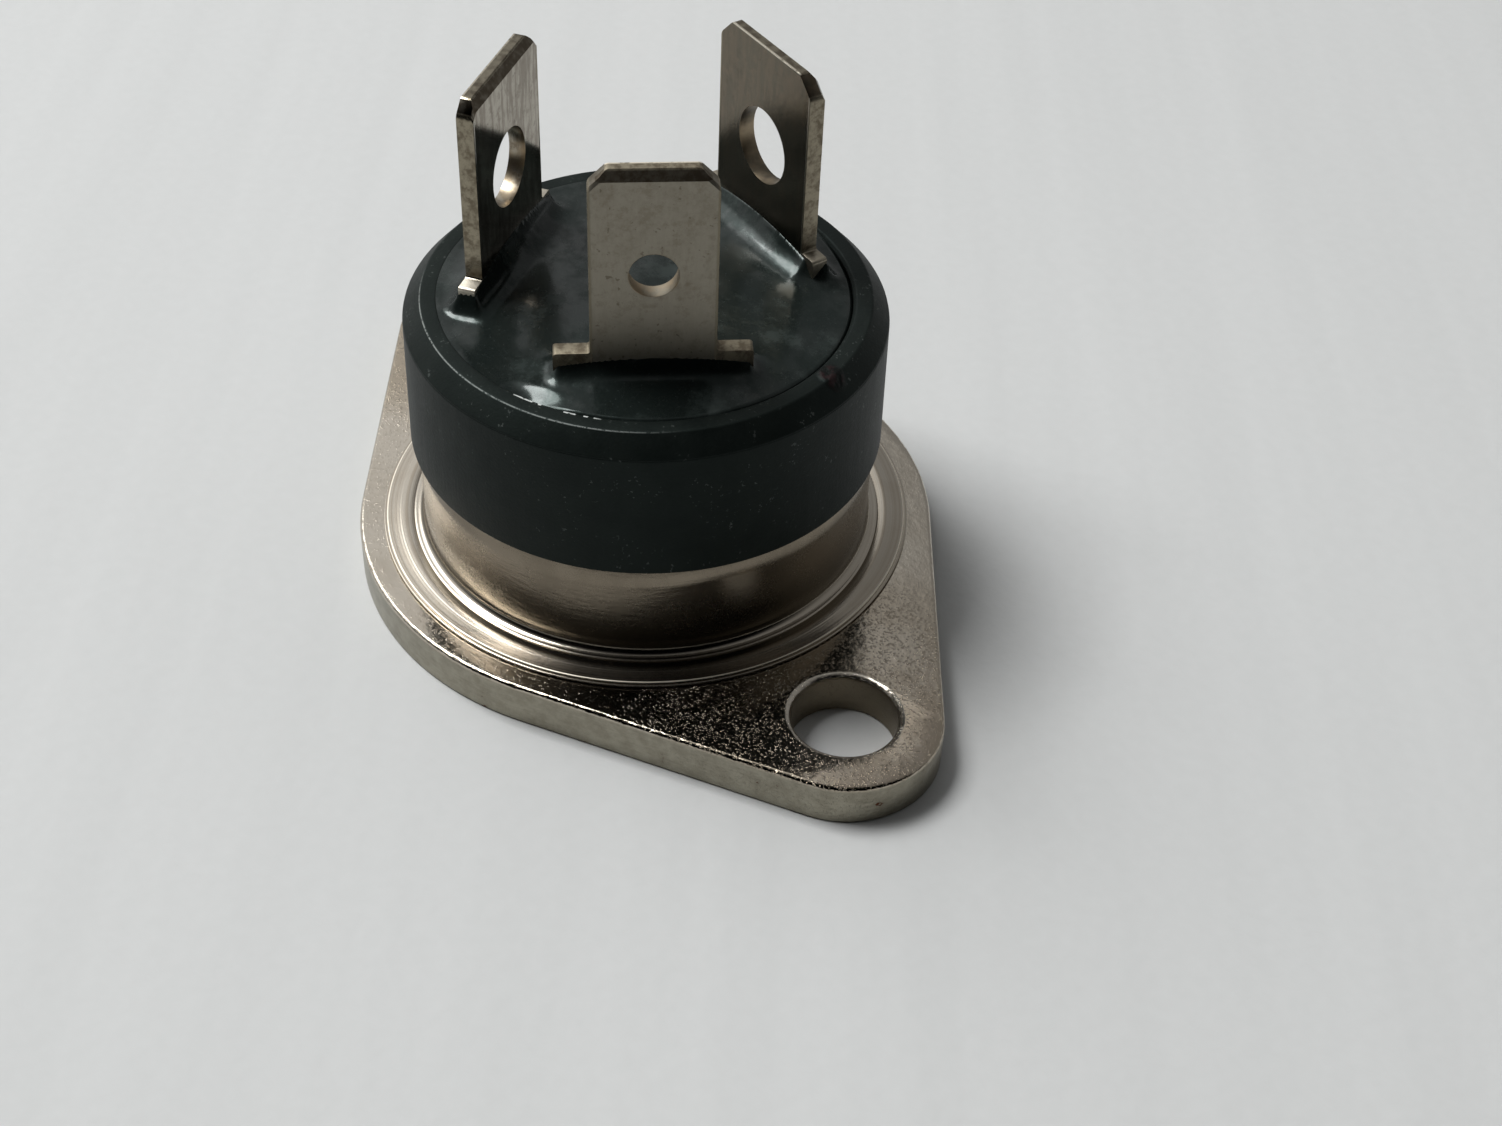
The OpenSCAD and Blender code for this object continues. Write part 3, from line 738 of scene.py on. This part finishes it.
def rim_shape(radius, angle):
    """Sideways and upward shift of the resin near its rim: brimful at one side, a gap at the other.

    Round the bead's direction the surface dips, and catches the light.
    """
    gap = min(max((math.cos(angle - GAP_MIDDLE) - GAP_FROM) / GAP_OVER, 0.0), 1.0)
    near = max(0.0, 1 - (OPENING_R - radius) / RIM_W)
    on_edge = near > 0.99
    spread = (1 - gap) * OPENING_BREAK * on_edge
    lift = (1 - gap) * RIM_RISE * math.exp((radius - OPENING_R) / RIM_REACH)
    bead = math.exp(-((angle - BEAD_MIDDLE) / BEAD_SPREAD) ** 2)
    bead = bead * smooth_step((radius - BEAD_R) / (OPENING_R - BEAD_R))
    return spread, lift - gap * GAP_DEPTH * near ** 1.5 - bead * BEAD_DIP


def resin_shape():
    """A fine disc raised to the resin's surface, with a wall down to a flat floor."""
    bm = bmesh.new()
    hub = bm.verts.new((0, 0, 0))
    spoke = bm.edges.new((hub, bm.verts.new((OPENING_R, 0, 0))))
    bmesh.ops.subdivide_edges(bm, edges=[spoke], cuts=RESIN_RINGS)
    turn_full(bm, RESIN_STEPS)
    bmesh.ops.remove_doubles(bm, verts=bm.verts[:], dist=WELD_GAP / 10)
    rim = [edge for edge in bm.edges if len(edge.link_faces) == 1]
    wall = bmesh.ops.extrude_edge_only(bm, edges=rim)["geom"]
    floor_rim = [part for part in wall if isinstance(part, bmesh.types.BMEdge)]
    sunk = {part for part in wall if isinstance(part, bmesh.types.BMVert)}
    bmesh.ops.holes_fill(bm, edges=floor_rim)
    for vert in bm.verts:
        x, y, _ = vert.co
        radius, angle = math.hypot(x, y), math.atan2(y, x)
        spread, lift = rim_shape(radius, angle)
        if vert in sunk:
            vert.co.z = RESIN_FLOOR
        else:
            vert.co = (x + spread * math.cos(angle), y + spread * math.sin(angle),
                       dome(radius) + creep(x, y) + lift)
    return bm


def potting():
    """Gloss black under a thin film that is smeared in places, with a grey haze and dust."""
    resin = Finish("Black potting resin", RESIN_SHEEN)
    here = resin.place()
    dust = resin.noise(here, 6.0, 3.0, 0.6)
    haze = resin.ease(resin.noise(here, 0.42, 5.0, 0.6), 0.5, 0.68)
    smear = resin.ease(resin.noise(resin.place(stretch=(1, 1, 0.2)), 0.55, 5.0, 0.65), 0.42, 0.58)

    skin = resin.tint(resin.ease(dust, 0.55, 0.8), RESIN_BLACK, RESIN_DUSTY)
    resin.feed("Base Color", resin.tint(haze * 0.7, skin, RESIN_HAZE))
    resin.feed("Roughness", 0.2 + resin.ease(dust, 0.45, 0.8) * 0.1 + haze * 0.12)
    resin.feed("Coat Weight", 0.12 + smear * 0.34)

    resin.relief(resin.noise(here, 0.5, 2.0), 0.06)
    resin.relief(resin.noise(here, 1.6, 3.0), 0.022)
    resin.relief(dust, 0.001)
    return resin


make_piece("Potting_resin", resin_shape(), potting(), "potting_resin")


# ---- Chip stack and gel ----
# Hidden under the resin: a ceramic disc soldered to the plate, a copper pad, the silicon chip,
# solder joints, the gate wire, and clear soft gel round them. The solids keep their own shapes.
def plain_finish(name, tones, scale, rough, depth, constants):
    """One material of the inside: two tones, a grain and its depth."""
    surface = Finish(name, constants)
    here = surface.place()
    grain = surface.noise(here, scale, 4.0, 0.6)
    surface.feed("Base Color", surface.tint(surface.ease(grain, 0.35, 0.7), *tones))
    surface.feed("Roughness", rough + grain * 0.15)
    surface.relief(grain, depth)
    return surface


solder = plain_finish("Soft solder", ((0.50, 0.50, 0.48), (0.36, 0.36, 0.35)), 2.5, 0.35, 0.01,
                      {"Metallic": 1.0})
copper = plain_finish("Bare copper", ((0.78, 0.42, 0.26), (0.60, 0.28, 0.16)), 2.0, 0.3, 0.006,
                      {"Metallic": 1.0})
ceramic = plain_finish("White alumina", ((0.82, 0.81, 0.77), (0.74, 0.73, 0.69)), 4.0, 0.5, 0.003,
                       {})
silicon = plain_finish("Silicon", ((0.08, 0.09, 0.12), (0.05, 0.055, 0.08)), 3.0, 0.2, 0.001,
                       {"Metallic": 0.6})
gel = plain_finish("Silicone gel", ((0.72, 0.76, 0.78), (0.66, 0.70, 0.73)), 0.8, 0.1, 0.02,
                   {"Transmission Weight": 0.8, "IOR": 1.41})
INSIDES = {"ceramic_insulator": ceramic, "base_solder": solder, "chip_pad": copper,
           "chip_solder": solder, "triac_chip": silicon, "top_solder": solder,
           "pad_solder": solder, "gate_solder": solder, "gate_wire": copper, "silicone_gel": gel}
for node, finish in INSIDES.items():
    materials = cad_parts[node].data.materials
    materials.clear()
    materials.append(finish.material)


# ---- Table, light and camera ----
# A sheet of off-white paper under a broad soft lamp at the left, with light from all round
# except the side where the camera stands. The room itself is seen as a pale wall.
TARGET = Vector((0, 0, 0.008))
PAPER_TURN = 0.957
PAPER_SHADE = (0.565, 0.575, 0.57)
PAPER_LIGHT = (0.65, 0.66, 0.655)
TABLE_HALF = 1.5


def paper():
    """Paper with faint broad streaks along one direction and a fine tooth."""
    sheet = Finish("Off-white paper", {"Specular IOR Level": 0.2})
    lines = sheet.noise(sheet.place(turn=PAPER_TURN, stretch=(1, 0.04, 1)), 0.4, 2.0)
    fibre = sheet.noise(sheet.place(), 1.5, 3.0)
    sheet.feed("Base Color", sheet.tint(lines * 0.6 + fibre * 0.4, PAPER_SHADE, PAPER_LIGHT))
    sheet.feed("Roughness", 0.75 + fibre * 0.1)
    sheet.relief(fibre, 0.02)
    return sheet


table = bmesh.new()
bmesh.ops.create_grid(table, x_segments=1, y_segments=1, size=TABLE_HALF)
table_mesh = bpy.data.meshes.new("Table")
table.to_mesh(table_mesh)
table.free()
table_mesh.materials.append(paper().material)
table_top = bpy.data.objects.new("Table", table_mesh)
bpy.context.scene.collection.objects.link(table_top)

CAMERA_PLACE = Vector((0.06265, -0.03840, 0.06528))
CAMERA_AZIMUTH, CAMERA_DROP, CAMERA_ROLL = -0.95723, 0.73749, 0.04425
FOCAL_PIXELS, FRAME_PIXELS = 2208.05, 1502
SENSOR_MM = 36
ahead = Vector((math.cos(CAMERA_DROP) * math.sin(CAMERA_AZIMUTH),
                math.cos(CAMERA_DROP) * math.cos(CAMERA_AZIMUTH), -math.sin(CAMERA_DROP)))
level = Vector((math.cos(CAMERA_AZIMUTH), -math.sin(CAMERA_AZIMUTH), 0))
upward = level.cross(ahead)
right = level * math.cos(CAMERA_ROLL) + upward * math.sin(CAMERA_ROLL)
above = upward * math.cos(CAMERA_ROLL) - level * math.sin(CAMERA_ROLL)
behind = Vector((ahead.x, ahead.y, 0)).normalized()
lens = bpy.data.cameras.new("Camera")
lens.sensor_width = SENSOR_MM
lens.lens = FOCAL_PIXELS * SENSOR_MM / FRAME_PIXELS
lens.clip_start = 0.001
camera = bpy.data.objects.new("Camera", lens)
camera.matrix_world = Matrix.Translation(CAMERA_PLACE) @ Matrix(
    (right, above, -ahead)).transposed().to_4x4()
bpy.context.scene.collection.objects.link(camera)
bpy.context.scene.camera = camera


def add_lamp(name, side, back, height, size, power):
    """A square soft lamp, placed to the camera's side and beyond the object, facing it."""
    light = bpy.data.lights.new(name, "AREA")
    light.size = size
    light.energy = power
    lamp = bpy.data.objects.new(name, light)
    place = TARGET + level * side + behind * back + Vector((0, 0, height))
    lamp.matrix_world = Matrix.Translation(place) @ (place - TARGET).to_track_quat(
        "Z", "Y").to_matrix().to_4x4()
    bpy.context.scene.collection.objects.link(lamp)


add_lamp("Window", side=-0.26, back=0.105, height=0.475, size=0.23, power=2.6)

# Each part of the room's light: its direction, the cosines where it starts and is full, its gain.
ROOM_LIGHTS = (
    (behind, -0.5, 0.1, 0.25),
    (behind * 0.49 - level * 0.59 + Vector((0, 0, 0.64)), 0.70, 0.88, 0.49),
    (behind * 0.50 - level * 0.58 + Vector((0, 0, 0.64)), 0.955, 0.985, 2.2))
WALL_SEEN = 0.5
world = bpy.data.worlds.new("Room")
bpy.context.scene.world = world
world.use_nodes = True
room = Nodes(world.node_tree)
facing = room.node("ShaderNodeTexCoord", {}, {}, "Generated")
strength = 0.0
for direction, low, high, gain in ROOM_LIGHTS:
    towards = room.node("ShaderNodeVectorMath", {"operation": "DOT_PRODUCT"},
                        {0: facing, 1: direction.normalized()}, "Value")
    strength = strength + room.node("ShaderNodeMapRange", {"interpolation_type": "SMOOTHSTEP"},
                                    {"Value": towards, "From Min": low, "From Max": high,
                                     "To Max": gain})
seen = room.node("ShaderNodeLightPath", {}, {}, "Is Camera Ray")
strength = strength * (1 - seen) + seen * WALL_SEEN
glow = room.tree.nodes["Background"]
glow.inputs["Color"].default_value = (1, 1, 1, 1)
room.tree.links.new(strength.socket, glow.inputs["Strength"])

bpy.context.scene.view_settings.view_transform = "Standard"
